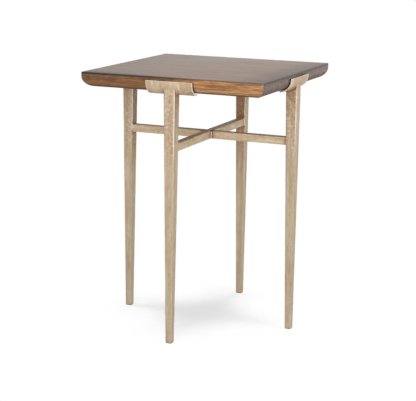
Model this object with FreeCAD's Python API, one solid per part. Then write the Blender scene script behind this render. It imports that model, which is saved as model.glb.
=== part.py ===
"""Square side table: a wood slab held in four curved metal saddles on tapered legs.

Lengths are millimetres. The origin is on the floor under the middle of the table, +Z is up,
+X is to the right and -Y is the front. Each leg and saddle is built on the +X side and turned
about the Z axis to its own side.
"""
import FreeCAD
import Part
import math
import os

from FreeCAD import Vector

# Whole table
TABLE_HEIGHT = 635.0
TOP_SIDE = 457.0

# Wood slab
TOP_THICKNESS = 35.5
TOP_EDGE_RADIUS = 25.0      # quarter round under the rim
TOP_EDGE_EASE = 1.5         # small round on the upper edge
TOP_CORNER_RADIUS = 3.0     # corners seen from above

# Saddle, bent from sheet
SADDLE_WIDTH = 116.0
SADDLE_SHEET = 3.5
SADDLE_GAP = 2.5            # air between the sheet and the wood
SADDLE_DROP = 9.0           # lip's upper edge below the table's surface
SADDLE_FLANGE = 34.0        # flat part under the slab, inboard of the curve
SADDLE_FLANGE_WIDTH = 80.0
SADDLE_FLANGE_CORNER = 6.0
SADDLE_EDGE_ROUND = 0.8

# Wood screws through the flange
SCREW_SPACING = 52.0
SCREW_EDGE_DISTANCE = 14.0  # screw axis to the flange's inner edge
SCREW_DIAMETER = 4.2
SCREW_LENGTH = 25.0         # under the head
SCREW_POINT_LENGTH = 5.0
SCREW_POINT_DIAMETER = 0.6
SCREW_HEAD_DIAMETER = 8.4
SCREW_HEAD_HEIGHT = 3.0
SCREW_HEAD_ROUND = 1.6
SCREW_RECESS_WIDTH = 4.4
SCREW_RECESS_SLOT = 1.1
SCREW_RECESS_DEPTH = 1.8
SCREW_HOLE_CLEARANCE = 0.6  # on the diameter, through flange and spacer
SPACER_DIAMETER = 13.0

# Tapered legs
LEG_TOP_SIDE = 28.8         # at the height of the lip's upper edge
LEG_FOOT_SIDE = 16.0
LEG_CORNER_RADIUS = 2.5
LEG_WALL = 2.0
LEG_BORE_CORNER_RADIUS = 0.5
LEG_SETBACK = 3.5           # leg's outer face inside the saddle's outer face, at the top
LEG_LEAN = 2.0              # outer face moves this far inwards on the way to the floor

# Foot glides
GLIDE_THICKNESS = 1.5
GLIDE_MARGIN = 0.8          # glide's pad inside the leg's outline
GLIDE_CORNER_RADIUS = 1.7
GLIDE_PLUG_LENGTH = 14.0
GLIDE_CLEARANCE = 0.1       # plug inside the leg's bore, on each side

# Cross bars
BAR_SIDE = 19.0
BAR_TOP_HEIGHT = 480.0
BAR_CORNER_RADIUS = 1.5
BAR_WALL = 1.2
BAR_BORE_CORNER_RADIUS = 0.4

# Cuts run this far past the surfaces that they open
OVERRUN = 1.0

# Angle of each side about the Z axis, from the +X side
SIDES = {"right": 0.0, "back": 90.0, "left": 180.0, "front": 270.0}

# Worked out from the sizes above
HALF_TOP = TOP_SIDE / 2
TOP_UNDERSIDE = TABLE_HEIGHT - TOP_THICKNESS
CURVE_X = HALF_TOP - TOP_EDGE_RADIUS
CURVE_Z = TOP_UNDERSIDE + TOP_EDGE_RADIUS
FLANGE_TOP = TOP_UNDERSIDE - SADDLE_GAP
FLANGE_BOTTOM = FLANGE_TOP - SADDLE_SHEET
FLANGE_END_X = CURVE_X - SADDLE_FLANGE
LIP_TOP = TABLE_HEIGHT - SADDLE_DROP
SADDLE_OUTER_X = HALF_TOP + SADDLE_GAP + SADDLE_SHEET
LEG_OUTER_TOP_X = SADDLE_OUTER_X - LEG_SETBACK
LEG_OUTER_FOOT_X = LEG_OUTER_TOP_X - LEG_LEAN
SCREW_X = FLANGE_END_X + SCREW_EDGE_DISTANCE


def line(a, b):
    return Part.LineSegment(a, b).toShape()


def start_point(edge):
    return edge.valueAt(edge.FirstParameter)


def end_point(edge):
    return edge.valueAt(edge.LastParameter)


def square_prism(side, height, radius, centre_x, z):
    """Upright square prism on (centre_x, 0, z) with its four long edges rounded."""
    corner = Vector(centre_x - side / 2, -side / 2, z)
    prism = Part.makeBox(side, side, height, corner)
    return prism.makeFillet(radius, long_edges(prism, height))


def long_edges(solid, height):
    """The edges that run the whole height of a prism or taper."""
    return [edge for edge in solid.Edges if edge.BoundBox.ZLength > height / 2]


def turned(shape, angle):
    """Copy of a shape turned about the Z axis."""
    copy = shape.copy()
    copy.rotate(Vector(0, 0, 0), Vector(0, 0, 1), angle)
    return copy


def corner_arc(centre_x, centre_z, radius, start_angle):
    """Quarter circle in the XZ plane, anticlockwise from an angle measured from +X to +Z."""
    def place(turn):
        angle = math.radians(start_angle + turn)
        return Vector(centre_x + radius * math.cos(angle), 0, centre_z + radius * math.sin(angle))

    return Part.Arc(place(0), place(45), place(90)).toShape()


def slab_section():
    """Outline of the slab across its width, in the XZ plane."""
    ease_x = HALF_TOP - TOP_EDGE_EASE
    ease_z = TABLE_HEIGHT - TOP_EDGE_EASE
    corners = [
        corner_arc(CURVE_X, CURVE_Z, TOP_EDGE_RADIUS, -90),
        corner_arc(ease_x, ease_z, TOP_EDGE_EASE, 0),
        corner_arc(-ease_x, ease_z, TOP_EDGE_EASE, 90),
        corner_arc(-CURVE_X, CURVE_Z, TOP_EDGE_RADIUS, 180),
    ]
    edges = []
    for arc, following in zip(corners, corners[1:] + corners[:1]):
        edges += [arc, line(end_point(arc), start_point(following))]
    return edges


def screw_places():
    """(angle, x, y) of every screw, x and y before the turn."""
    for angle in SIDES.values():
        for side in (-1, 1):
            yield angle, SCREW_X, side * SCREW_SPACING / 2


def table_top():
    """Slab with the same rim on four sides, mitred at the corners, and its pilot holes."""
    run = swept_across(slab_section(), TOP_SIDE)
    slab = run.common(turned(run, SIDES["back"]))
    slab = slab.common(
        square_prism(TOP_SIDE, TOP_THICKNESS, TOP_CORNER_RADIUS, 0, TOP_UNDERSIDE))
    for angle, x, y in screw_places():
        slab = slab.cut(turned(screw_body(x, y), angle))
    return slab


def saddle_path(offset):
    """Flange, quarter round and lip at an offset from the wood, up to the table's surface."""
    bend = corner_arc(CURVE_X, CURVE_Z, TOP_EDGE_RADIUS + offset, -90)
    flange_end = Vector(FLANGE_END_X, 0, TOP_UNDERSIDE - offset)
    lip_end = Vector(HALF_TOP + offset, 0, TABLE_HEIGHT)
    return [line(flange_end, start_point(bend)), bend, line(end_point(bend), lip_end)]


def swept_across(edges, width):
    """Solid of a closed XZ outline, given as edges in order, centred on Y."""
    face = Part.Face(Part.Wire(edges))
    face.translate(Vector(0, -width / 2, 0))
    return face.extrude(Vector(0, width, 0))


def beside_flange():
    """Space at both sides of the flange, which is narrower than the curve."""
    low = FLANGE_BOTTOM - OVERRUN
    height = SADDLE_SHEET + 2 * OVERRUN
    flange = Part.makeBox(
        SADDLE_FLANGE, SADDLE_FLANGE_WIDTH, height,
        Vector(FLANGE_END_X, -SADDLE_FLANGE_WIDTH / 2, low))
    corners = [edge for edge in long_edges(flange, height)
               if edge.BoundBox.XMax < FLANGE_END_X + SADDLE_FLANGE / 2]
    flange = flange.makeFillet(SADDLE_FLANGE_CORNER, corners)
    strip = Part.makeBox(
        SADDLE_FLANGE + OVERRUN, SADDLE_WIDTH + 2 * OVERRUN, height,
        Vector(FLANGE_END_X - OVERRUN, -SADDLE_WIDTH / 2 - OVERRUN, low))
    return strip.cut(flange)


def saddle():
    """Bent sheet under one side of the slab, with its screw holes."""
    inner = saddle_path(SADDLE_GAP)
    outer = saddle_path(SADDLE_GAP + SADDLE_SHEET)
    lip_edge = line(end_point(outer[-1]), end_point(inner[-1]))
    flange_edge = line(start_point(inner[0]), start_point(outer[0]))
    sheet = swept_across(outer + [lip_edge] + inner[::-1] + [flange_edge], SADDLE_WIDTH)
    above_lip = Part.makeBox(
        SADDLE_OUTER_X, SADDLE_WIDTH, SADDLE_DROP, Vector(0, -SADDLE_WIDTH / 2, LIP_TOP))
    sheet = sheet.cut(above_lip)
    sheet = sheet.makeFillet(SADDLE_EDGE_ROUND, lip_edges(sheet))
    sheet = sheet.cut(beside_flange())
    for side in (-1, 1):
        hole = Part.makeCylinder(
            (SCREW_DIAMETER + SCREW_HOLE_CLEARANCE) / 2,
            SADDLE_SHEET + 2 * OVERRUN,
            Vector(SCREW_X, side * SCREW_SPACING / 2, FLANGE_BOTTOM - OVERRUN),
        )
        sheet = sheet.cut(hole)
    return sheet


def lip_edges(sheet):
    """The two long upper edges of the lip."""
    return [
        edge for edge in sheet.Edges
        if abs(edge.BoundBox.ZMin - LIP_TOP) < SADDLE_EDGE_ROUND
        and edge.BoundBox.YLength > SADDLE_WIDTH / 2
    ]


def space_above_saddle():
    """Everything inside the saddle's outer surface, for coping the leg."""
    outer = saddle_path(SADDLE_GAP + SADDLE_SHEET)
    top_corner = Vector(FLANGE_END_X, 0, TABLE_HEIGHT)
    closing = [line(end_point(outer[-1]), top_corner), line(top_corner, start_point(outer[0]))]
    return swept_across(outer + closing, SADDLE_WIDTH)


def leg_taper(inset, corner_radius):
    """Tapered solid of the leg, its faces moved in by an inset, before the top is coped."""
    foot_half = LEG_FOOT_SIDE / 2 - inset
    head_half = LEG_TOP_SIDE / 2 - inset
    taper = Part.makeWedge(
        LEG_OUTER_FOOT_X - LEG_FOOT_SIDE + inset, GLIDE_THICKNESS, -foot_half,
        -head_half, LEG_OUTER_TOP_X - LEG_TOP_SIDE + inset,
        LEG_OUTER_FOOT_X - inset, LIP_TOP, foot_half,
        head_half, LEG_OUTER_TOP_X - inset,
    )
    taper.rotate(Vector(0, 0, 0), Vector(1, 0, 0), 90)
    return taper.makeFillet(corner_radius, long_edges(taper, LIP_TOP))


def leg_outside():
    return leg_taper(0, LEG_CORNER_RADIUS)


def leg():
    """Tapered square tube whose top follows the saddle's outer surface."""
    tube = leg_outside().cut(leg_taper(LEG_WALL, LEG_BORE_CORNER_RADIUS))
    return tube.cut(space_above_saddle())


def foot_glide():
    """Pad under the leg with a plug that fills the mouth of its bore."""
    centre_x = LEG_OUTER_FOOT_X - LEG_FOOT_SIDE / 2
    pad_side = LEG_FOOT_SIDE - 2 * GLIDE_MARGIN
    plug_side = LEG_FOOT_SIDE - 2 * LEG_WALL - 2 * GLIDE_CLEARANCE
    pad = square_prism(pad_side, GLIDE_THICKNESS, GLIDE_CORNER_RADIUS, centre_x, 0)
    plug = square_prism(
        plug_side, GLIDE_PLUG_LENGTH, LEG_BORE_CORNER_RADIUS, centre_x, GLIDE_THICKNESS)
    return pad.fuse(plug).removeSplitter()


def bar_tube(start_x, end_x):
    """Square tube along X between two places, at the height of the cross bars."""
    length = end_x - start_x
    outside = square_prism(BAR_SIDE, length, BAR_CORNER_RADIUS, 0, 0)
    bore_side = BAR_SIDE - 2 * BAR_WALL
    inside = square_prism(bore_side, length, BAR_BORE_CORNER_RADIUS, 0, 0)
    tube = outside.cut(inside)
    tube.rotate(Vector(0, 0, 0), Vector(0, 1, 0), 90)
    tube.translate(Vector(start_x, 0, BAR_TOP_HEIGHT - BAR_SIDE / 2))
    return tube


def through_bar():
    """Front to back bar, cut to the leaning inner faces of its two legs."""
    reach = LEG_OUTER_FOOT_X - LEG_FOOT_SIDE / 2
    bar = bar_tube(-reach, reach).cut(leg_outside()).cut(turned(leg_outside(), SIDES["left"]))
    return turned(bar, SIDES["back"])


def half_bar():
    """Bar from the side of the through bar to the inner face of its leg."""
    reach = LEG_OUTER_FOOT_X - LEG_FOOT_SIDE / 2
    return bar_tube(BAR_SIDE / 2, reach).cut(leg_outside())


def screw_body(x, y):
    """Shank and point of a wood screw that stands up through the flange."""
    shank_length = SCREW_LENGTH - SCREW_POINT_LENGTH
    shank = Part.makeCylinder(SCREW_DIAMETER / 2, shank_length, Vector(x, y, FLANGE_BOTTOM))
    point = Part.makeCone(
        SCREW_DIAMETER / 2, SCREW_POINT_DIAMETER / 2, SCREW_POINT_LENGTH,
        Vector(x, y, FLANGE_BOTTOM + shank_length))
    return shank.fuse(point)


def screw(x, y):
    """Pan head wood screw with a cross recess."""
    head_low = FLANGE_BOTTOM - SCREW_HEAD_HEIGHT
    head = Part.makeCylinder(SCREW_HEAD_DIAMETER / 2, SCREW_HEAD_HEIGHT, Vector(x, y, head_low))
    rim = [edge for edge in head.Edges if edge.BoundBox.ZMax < head_low + SCREW_HEAD_ROUND
           and len(edge.Vertexes) == 1]
    head = head.makeFillet(SCREW_HEAD_ROUND, rim)
    for width, depth in (
        (SCREW_RECESS_WIDTH, SCREW_RECESS_SLOT),
        (SCREW_RECESS_SLOT, SCREW_RECESS_WIDTH),
    ):
        corner = Vector(x - width / 2, y - depth / 2, head_low - OVERRUN)
        head = head.cut(Part.makeBox(width, depth, SCREW_RECESS_DEPTH + OVERRUN, corner))
    return head.fuse(screw_body(x, y)).removeSplitter()


def spacer(x, y):
    """Washer that keeps the flange off the wood."""
    hole_radius = (SCREW_DIAMETER + SCREW_HOLE_CLEARANCE) / 2
    base = Vector(x, y, FLANGE_TOP)
    ring = Part.makeCylinder(SPACER_DIAMETER / 2, SADDLE_GAP, base)
    return ring.cut(Part.makeCylinder(hole_radius, SADDLE_GAP, base))


def build():
    """All nodes by name."""
    nodes = {"table_top": table_top()}
    for side, angle in SIDES.items():
        nodes["saddle_" + side] = turned(saddle(), angle)
        nodes["leg_" + side] = turned(leg(), angle)
        nodes["foot_glide_" + side] = turned(foot_glide(), angle)
    nodes["cross_bar_through"] = through_bar()
    nodes["cross_bar_right"] = half_bar()
    nodes["cross_bar_left"] = turned(half_bar(), SIDES["left"])
    nodes["flange_screws"] = Part.makeCompound(
        [turned(screw(x, y), angle) for angle, x, y in screw_places()])
    nodes["flange_spacers"] = Part.makeCompound(
        [turned(spacer(x, y), angle) for angle, x, y in screw_places()])
    return nodes


def main():
    os.makedirs("parts", exist_ok=True)
    for name, shape in build().items():
        shape.exportStep(os.path.join("parts", name + ".step"))
        box = shape.BoundBox
        print(name, len(shape.Solids), "solids", round(shape.Volume), "mm3",
              "valid" if shape.isValid() else "NOT VALID",
              [round(v, 1) for v in (box.XMin, box.YMin, box.ZMin, box.XMax, box.YMax, box.ZMax)])


main()
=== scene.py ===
"""Looks of a square side table: a stained wood slab in leafed metal brackets on tapered legs.

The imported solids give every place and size. The slab, brackets, legs and bars are modelled again
with softened edges and the slight unevenness of hand finished work, and the welds get their own
fillets. Glides, screws and spacers keep their solids. Lengths are in metres, +Z is up and -Y is
the front.
"""

import logging
import math
from collections.abc import Callable, Iterable, Iterator
from contextlib import contextmanager
from dataclasses import dataclass, field
from enum import Enum

import bmesh
import bpy
from mathutils import Matrix, Vector
from mathutils.bvhtree import BVHTree


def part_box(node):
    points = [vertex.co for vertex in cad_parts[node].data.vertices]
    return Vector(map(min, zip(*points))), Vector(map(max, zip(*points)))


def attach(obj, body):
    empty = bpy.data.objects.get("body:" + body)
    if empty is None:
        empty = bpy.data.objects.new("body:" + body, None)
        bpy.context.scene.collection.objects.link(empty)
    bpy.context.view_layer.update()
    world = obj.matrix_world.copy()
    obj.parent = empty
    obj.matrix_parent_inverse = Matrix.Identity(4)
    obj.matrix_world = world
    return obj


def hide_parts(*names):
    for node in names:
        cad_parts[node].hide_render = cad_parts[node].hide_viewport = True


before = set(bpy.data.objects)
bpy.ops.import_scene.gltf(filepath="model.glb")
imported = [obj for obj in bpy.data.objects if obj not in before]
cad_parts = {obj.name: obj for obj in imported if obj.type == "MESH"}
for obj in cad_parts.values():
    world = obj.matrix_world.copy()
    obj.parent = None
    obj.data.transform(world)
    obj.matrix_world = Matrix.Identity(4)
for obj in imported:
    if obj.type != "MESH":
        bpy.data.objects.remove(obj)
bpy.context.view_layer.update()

MM = 0.001
BODY = "root"
WOOD_SLOT = "stained_wood"
LEAF_SLOT = "leafed_metal"
BAR_NODES = ("cross_bar_through", "cross_bar_right", "cross_bar_left")
# Per-point marks: edge wear that also carries a painted highlight, glaze with painted shade in
# nooks, and painted shade with glaze under the top.
WORN = "worn"
NOOK = "nook"
SHELTER = "shelter"
MERGE_DISTANCE = 0.01 * MM
PLACE_TOLERANCE = 0.05 * MM
WHITE = (1.0, 1.0, 1.0, 1.0)

Colour = tuple[float, float, float]
Span = tuple[float, float]
Socket = bpy.types.NodeSocket
Sockets = bpy.types.bpy_prop_collection
Value = Socket | float | tuple

log = logging.getLogger("side_table")


class Side(Enum):
    """A side of the table, with its angle about the Z axis from the +X side, in degrees."""

    RIGHT = 0.0
    BACK = 90.0
    LEFT = 180.0
    FRONT = 270.0

    @property
    def turn(self) -> Matrix:
        """Rotation that carries a piece from the +X side to this side."""
        return Matrix.Rotation(math.radians(self.value), 4, "Z")

    @property
    def word(self) -> str:
        """The side's name as the pieces and solids use it."""
        return self.name.lower()


class Lay(Enum):
    """Direction in which a leafed surface was brushed: streaks per metre along X, Y and Z."""

    UPRIGHT = (340.0, 340.0, 24.0)
    ALONG_X = (42.0, 340.0, 340.0)
    ALONG_Y = (340.0, 42.0, 340.0)
    ROUND_BEND_OF_X_SIDES = (40.0, 340.0, 40.0)
    ROUND_BEND_OF_Y_SIDES = (340.0, 40.0, 40.0)
    ON_WELDS = (150.0, 150.0, 150.0)

    @property
    def drawn_out(self) -> tuple[float, ...]:
        """Scale of the coordinates that draws patches out along the streaks."""
        return tuple((count / 340.0) ** 0.6 for count in self.value)


class Workpiece:
    """A mesh that is shaped by hand: faces and edges are picked by their place, then worked."""

    def __init__(self, obj: bpy.types.Object) -> None:
        """Takes over an object.

        Args:
            obj: A mesh object whose place is in its mesh.
        """
        self.obj = obj

    @classmethod
    def block(cls, name: str, low: Vector, high: Vector) -> "Workpiece":
        """Starts from a box between two corners.

        Args:
            name: The new object's name.
            low: Lowest corner.
            high: Highest corner.

        Returns:
            The new workpiece.
        """
        bpy.ops.object.select_all(action="DESELECT")
        bpy.ops.mesh.primitive_cube_add(size=1, location=(low + high) / 2)
        return cls._placed(name, high - low)

    @classmethod
    def sheet(cls, name: str, centre: Vector, length: float, width: float) -> "Workpiece":
        """Starts from a flat rectangle square to Z.

        Args:
            name: The new object's name.
            centre: Middle of the rectangle.
            length: Size along X.
            width: Size along Y.

        Returns:
            The new workpiece.
        """
        bpy.ops.object.select_all(action="DESELECT")
        bpy.ops.mesh.primitive_plane_add(size=1, location=centre)
        return cls._placed(name, Vector((length, width, 1)))

    @classmethod
    def rod(cls, name: str, centre: Vector, diameter: float, height: float) -> "Workpiece":
        """Starts from an upright cylinder.

        Args:
            name: The new object's name.
            centre: Middle of the cylinder.
            diameter: Its diameter.
            height: Its height.

        Returns:
            The new workpiece.
        """
        bpy.ops.object.select_all(action="DESELECT")
        bpy.ops.mesh.primitive_cylinder_add(
            vertices=32, radius=diameter / 2, depth=height, location=centre)
        return cls._placed(name, Vector((1, 1, 1)))

    @classmethod
    def _placed(cls, name: str, scale: Vector) -> "Workpiece":
        """Names and scales the new primitive and puts its place into its mesh.

        Args:
            name: The object's name.
            scale: Factors along X, Y and Z.

        Returns:
            The new workpiece.
        """
        obj = bpy.context.active_object
        obj.name = name
        obj.data.name = name
        obj.scale = scale
        bpy.ops.object.transform_apply(location=True, rotation=True, scale=True)
        return cls(obj)

    def hold(self) -> None:
        """Makes this the only selected object, and the active one."""
        bpy.ops.object.select_all(action="DESELECT")
        bpy.context.view_layer.objects.active = self.obj
        self.obj.select_set(True)

    @contextmanager
    def shaping(self, mode: str = "EDGE") -> Iterator[None]:
        """Edit mode for as long as the block lasts.

        Args:
            mode: What is picked: VERT, EDGE or FACE.
        """
        self.hold()
        bpy.ops.object.mode_set(mode="EDIT")
        bpy.ops.mesh.select_mode(type=mode)
        yield
        bpy.ops.object.mode_set(mode="OBJECT")

    def pick_edges(self, wanted: Callable[[bmesh.types.BMEdge], bool]) -> int:
        """Selects the edges that pass a test, and nothing else.

        Args:
            wanted: The test.

        Returns:
            How many edges are selected.
        """
        bpy.ops.mesh.select_mode(type="EDGE")
        return self._pick(wanted, "edges")

    def pick_faces(self, wanted: Callable[[bmesh.types.BMFace], bool]) -> int:
        """Selects the faces that pass a test, and nothing else.

        Args:
            wanted: The test.

        Returns:
            How many faces are selected.
        """
        bpy.ops.mesh.select_mode(type="FACE")
        return self._pick(wanted, "faces")

    def _pick(self, wanted: Callable[[object], bool], kind: str) -> int:
        """Selects the edges or faces that pass a test.

        Args:
            wanted: The test.
            kind: What is tested: edges or faces.

        Returns:
            How many are selected.
        """
        bpy.ops.mesh.select_all(action="DESELECT")
        mesh = bmesh.from_edit_mesh(self.obj.data)
        picked = [item for item in getattr(mesh, kind) if wanted(item)]
        for item in picked:
            item.select_set(True)
        bmesh.update_edit_mesh(self.obj.data)
        return len(picked)

    def round_edges(self, radius: float, segments: int) -> None:
        """Rounds the picked edges.

        Args:
            radius: Radius of the round.
            segments: Faces across it.
        """
        bpy.ops.mesh.bevel(
            offset=radius, segments=segments, profile=0.5, affect="EDGES", clamp_overlap=False)

    def divide(self, cuts: int) -> None:
        """Cuts each picked edge into equal lengths, and joins the cuts across the faces."""
        bpy.ops.mesh.subdivide(number_cuts=cuts, smoothness=0)

    def slice_across(self, axis: int, places: Iterable[float]) -> None:
        """Cuts new edges where planes square to an axis cross the surface.

        Args:
            axis: 0, 1 or 2 for X, Y or Z.
            places: Where the planes lie on the axis.
        """
        facing = Vector((0, 0, 0))
        facing[axis] = 1
        for place in places:
            bpy.ops.mesh.select_all(action="SELECT")
            bpy.ops.mesh.bisect(plane_co=facing * place, plane_no=facing)

    def clean(self) -> None:
        """Merges doubled points and turns all faces outwards."""
        with self.shaping("VERT"):
            bpy.ops.mesh.select_all(action="SELECT")
            bpy.ops.mesh.remove_doubles(threshold=MERGE_DISTANCE)
            bpy.ops.mesh.normals_make_consistent(inside=False)

    def apply(self, kind: str, **settings: object) -> None:
        """Adds a modifier and applies it.

        Args:
            kind: The modifier's type.
            settings: Values of its properties.
        """
        self.hold()
        modifier = self.obj.modifiers.new(kind.lower(), kind)
        for name, value in settings.items():
            setattr(modifier, name, value)
        bpy.ops.object.modifier_apply(modifier=modifier.name)

    def combine(self, other: "Workpiece", operation: str) -> None:
        """Cuts another workpiece away or joins it on, and uses it up.

        Args:
            other: The other workpiece.
            operation: DIFFERENCE or UNION.
        """
        self.apply("BOOLEAN", operation=operation, solver="EXACT", object=other.obj)
        bpy.data.objects.remove(other.obj)

    def roughen(self, height: float = 0.3 * MM, spacing: float = 24 * MM,
                group: str = "") -> None:
        """Moves the surface in and out by a little, as handwork leaves it.

        Pieces that share the same height and spacing move alike where they touch.

        Args:
            height: Range of the movement.
            spacing: Size of the bumps.
            group: Vertex group that limits it, or nothing for all of it.
        """
        clouds = bpy.data.textures.new(self.obj.name + "_unevenness", "CLOUDS")
        clouds.noise_scale = spacing
        self.apply(
            "DISPLACE", texture=clouds, texture_coords="LOCAL", strength=height, mid_level=0.5,
            vertex_group=group)

    def smooth(self, angle: float = 32.0) -> None:
        """Shades the surface smooth, except across edges sharper than an angle in degrees."""
        self.hold()
        bpy.ops.object.shade_smooth_by_angle(angle=math.radians(angle))

    def copy_to(self, name: str, turn: Matrix) -> "Workpiece":
        """A turned copy with its own mesh.

        Args:
            name: The copy's name.
            turn: Rotation about the table's middle.

        Returns:
            The copy.
        """
        obj = self.obj.copy()
        obj.data = self.obj.data.copy()
        obj.name = name
        obj.data.name = name
        obj.data.transform(turn)
        bpy.context.scene.collection.objects.link(obj)
        return Workpiece(obj)

    def discard(self) -> None:
        """Removes the workpiece."""
        bpy.data.objects.remove(self.obj)

    def finish(self, material: bpy.types.Material, slot: str, replaced: Iterable[str] = ()) -> None:
        """Gives the piece its finish and its place in the frame.

        Args:
            material: Its material.
            slot: A material slot's name; not used.
            replaced: Solids that it stands for.
        """
        self.obj.data.materials.clear()
        self.obj.data.materials.append(material)
        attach(self.obj, BODY)
        if replaced:
            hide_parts(*replaced)
        log.info("%s: %d faces", self.obj.name, len(self.obj.data.polygons))


def unit(value: float) -> float:
    """The value, kept between 0 and 1."""
    return min(1.0, max(0.0, value))


def close_to(value: float, target: float) -> bool:
    """True if two places are the same within the tolerance."""
    return abs(value - target) < PLACE_TOLERANCE


def runs_along(edge: bmesh.types.BMEdge, axis: int, share: float = 0.5) -> bool:
    """True if most of an edge's length lies along an axis.

    Args:
        edge: The edge.
        axis: 0, 1 or 2 for X, Y or Z.
        share: Least share of its length.

    Returns:
        Whether it does.
    """
    run = edge.verts[1].co - edge.verts[0].co
    return abs(run[axis]) > share * run.length and run.length > PLACE_TOLERANCE


@dataclass(frozen=True)
class Patina:
    """Marks on each point of a piece: rubbed edges that also carry a painted highlight, nooks with
    glaze and painted shade, and painted shade with glaze under the top.
    """

    nook_reach: float = 16 * MM
    side_nooks: float = 0.2
    clear_of_butt: float = 2 * MM
    handled: Span = (395 * MM, 475 * MM)
    unhandled_share: float = 0.1
    rubbed_angle: float = 0.8
    # Heights over which painted shade under the top rises on sideways and on inward faces.
    side_shelter: Span = (430 * MM, 595 * MM)
    inner_shelter: Span = (345 * MM, 480 * MM)
    inner_most: float = 0.85
    sideways_most: float = 0.75
    middle_reach: float = 60 * MM

    def mark(self, piece: Workpiece, neighbours: Iterable[Workpiece] = (),
             butted: Iterable[Workpiece] = (),
             rim_wear: Callable[[Vector], float] = lambda place: 0.0,
             stain: Callable[[Vector], float] = lambda place: 0.0,
             handling: float = 1.0) -> None:
        """Writes the attributes that the finishes read.

        Args:
            piece: The finished mesh.
            neighbours: Pieces whose nearness makes a nook.
            butted: Pieces that make nooks above and below them, on inward faces.
            rim_wear: Wear and painted highlight of a sheet's rims at a place, from 0 to 1.
            stain: Glaze left at a place that isn't a nook, from 0 to 1; at the bars' ends also
                painted shade.
            handling: How much of the usual rubbing and painted highlight the piece gets.
        """
        nooks = self._nooks(piece, neighbours, butted)
        # Edge wear, which the leaf also shows as a painted highlight.
        worn = [max(edge, rim_wear(point.co)) * (1 - nook) * self._handled(point.co.z) * handling
                for edge, nook, point
                in zip(self._edges(piece), nooks, piece.obj.data.vertices)]
        # Nooks take glaze and painted shade; stains add glaze, and at the bars' ends painted shade.
        nooks = [max(nook, stain(point.co))
                 for nook, point in zip(nooks, piece.obj.data.vertices)]
        self.write(piece, WORN, worn)
        self.write(piece, NOOK, nooks)
        self.write(piece, SHELTER, self._shelter(piece))

    def mark_weld(self, weld: Workpiece, joined: Iterable[Workpiece]) -> None:
        """Marks a fillet: rubbed with a painted highlight along its middle, glazed with painted
        shade where it runs out on the pieces.

        Args:
            weld: The fillet.
            joined: The pieces that it joins.
        """
        surfaces = self._surfaces(joined)
        gaps = [min(tree.find_nearest(point.co)[3] for tree in surfaces)
                for point in weld.obj.data.vertices]
        deepest = max(gaps)
        inward = [self._inward_share(self._outward(point.co, point.normal))
                  for point in weld.obj.data.vertices]
        self.write(
            weld, WORN, [unit(1.3 * gap / deepest) * share for gap, share in zip(gaps, inward)])
        self.write(
            weld, NOOK, [0.5 * (1 - gap / deepest) * share for gap, share in zip(gaps, inward)])
        self.write(weld, SHELTER, self._shelter(weld))

    @staticmethod
    def write(piece: Workpiece, name: str, values: list[float]) -> None:
        """Stores one value per point under a name."""
        attribute = piece.obj.data.attributes.new(name, "FLOAT", "POINT")
        attribute.data.foreach_set("value", values)

    def _edges(self, piece: Workpiece) -> list[float]:
        """How convex the surface is at each point, from 0 to 1.

        Args:
            piece: The piece.

        Returns:
            One value per point.
        """
        mesh = bmesh.new()
        mesh.from_mesh(piece.obj.data)
        bends = []
        for point in mesh.verts:
            angles = [edge.calc_face_angle_signed(0.0) for edge in point.link_edges]
            bends.append(min(1.0, sum(max(angle, 0.0) for angle in angles) / self.rubbed_angle))
        mesh.free()
        return bends

    @staticmethod
    def _surfaces(pieces: Iterable[Workpiece]) -> list[BVHTree]:
        """Search trees of some pieces."""
        depsgraph = bpy.context.evaluated_depsgraph_get()
        return [BVHTree.FromObject(piece.obj, depsgraph) for piece in pieces]

    def _nooks(self, piece: Workpiece, neighbours: Iterable[Workpiece],
               butted: Iterable[Workpiece]) -> list[float]:
        """How near each point is to a neighbour, from 0 to 1, for glaze and painted shade in the
        nook; none on outward faces.

        Args:
            piece: The piece.
            neighbours: Pieces whose nearness makes a nook.
            butted: Pieces that make nooks above and below them, on inward faces.

        Returns:
            One value per point.
        """
        nooks = []
        for near, near_butt, outward in zip(
                self._nearness(piece, neighbours),
                self._nearness(piece, butted, self.clear_of_butt),
                self._most_outward(piece)):
            behind = self.side_nooks + (1 - self.side_nooks) * self._inward(outward)
            nooks.append(max(near, near_butt * behind) * self._inward_share(outward))
        return nooks

    def _nearness(self, piece: Workpiece, others: Iterable[Workpiece],
                  rise: float = 0.0) -> list[float]:
        """How near each point is to other pieces, and at least a rise above or below them.

        Args:
            piece: The piece.
            others: The other pieces.
            rise: Height above or below them at which nearness counts in full.

        Returns:
            One value per point, from 0 to 1.
        """
        trees = self._surfaces(others)
        nearness = []
        for point in piece.obj.data.vertices:
            shares = [0.0]
            for tree in trees:
                place, _, _, gap = tree.find_nearest(point.co, self.nook_reach)
                if place is not None:
                    clear = unit(abs(point.co.z - place.z) / rise) if rise else 1.0
                    shares.append(clear * (1 - gap / self.nook_reach) ** 1.4)
            nearness.append(max(shares))
        return nearness

    def _most_outward(self, piece: Workpiece) -> list[float]:
        """How squarely the most outward face at each point looks away from the middle.

        Args:
            piece: The piece.

        Returns:
            One value per point, from -1 to 1.
        """
        mesh = piece.obj.data
        most = [-1.0] * len(mesh.vertices)
        for face in mesh.polygons:
            outward = self._outward(face.center, face.normal)
            for index in face.vertices:
                most[index] = max(most[index], outward)
        return most

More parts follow.
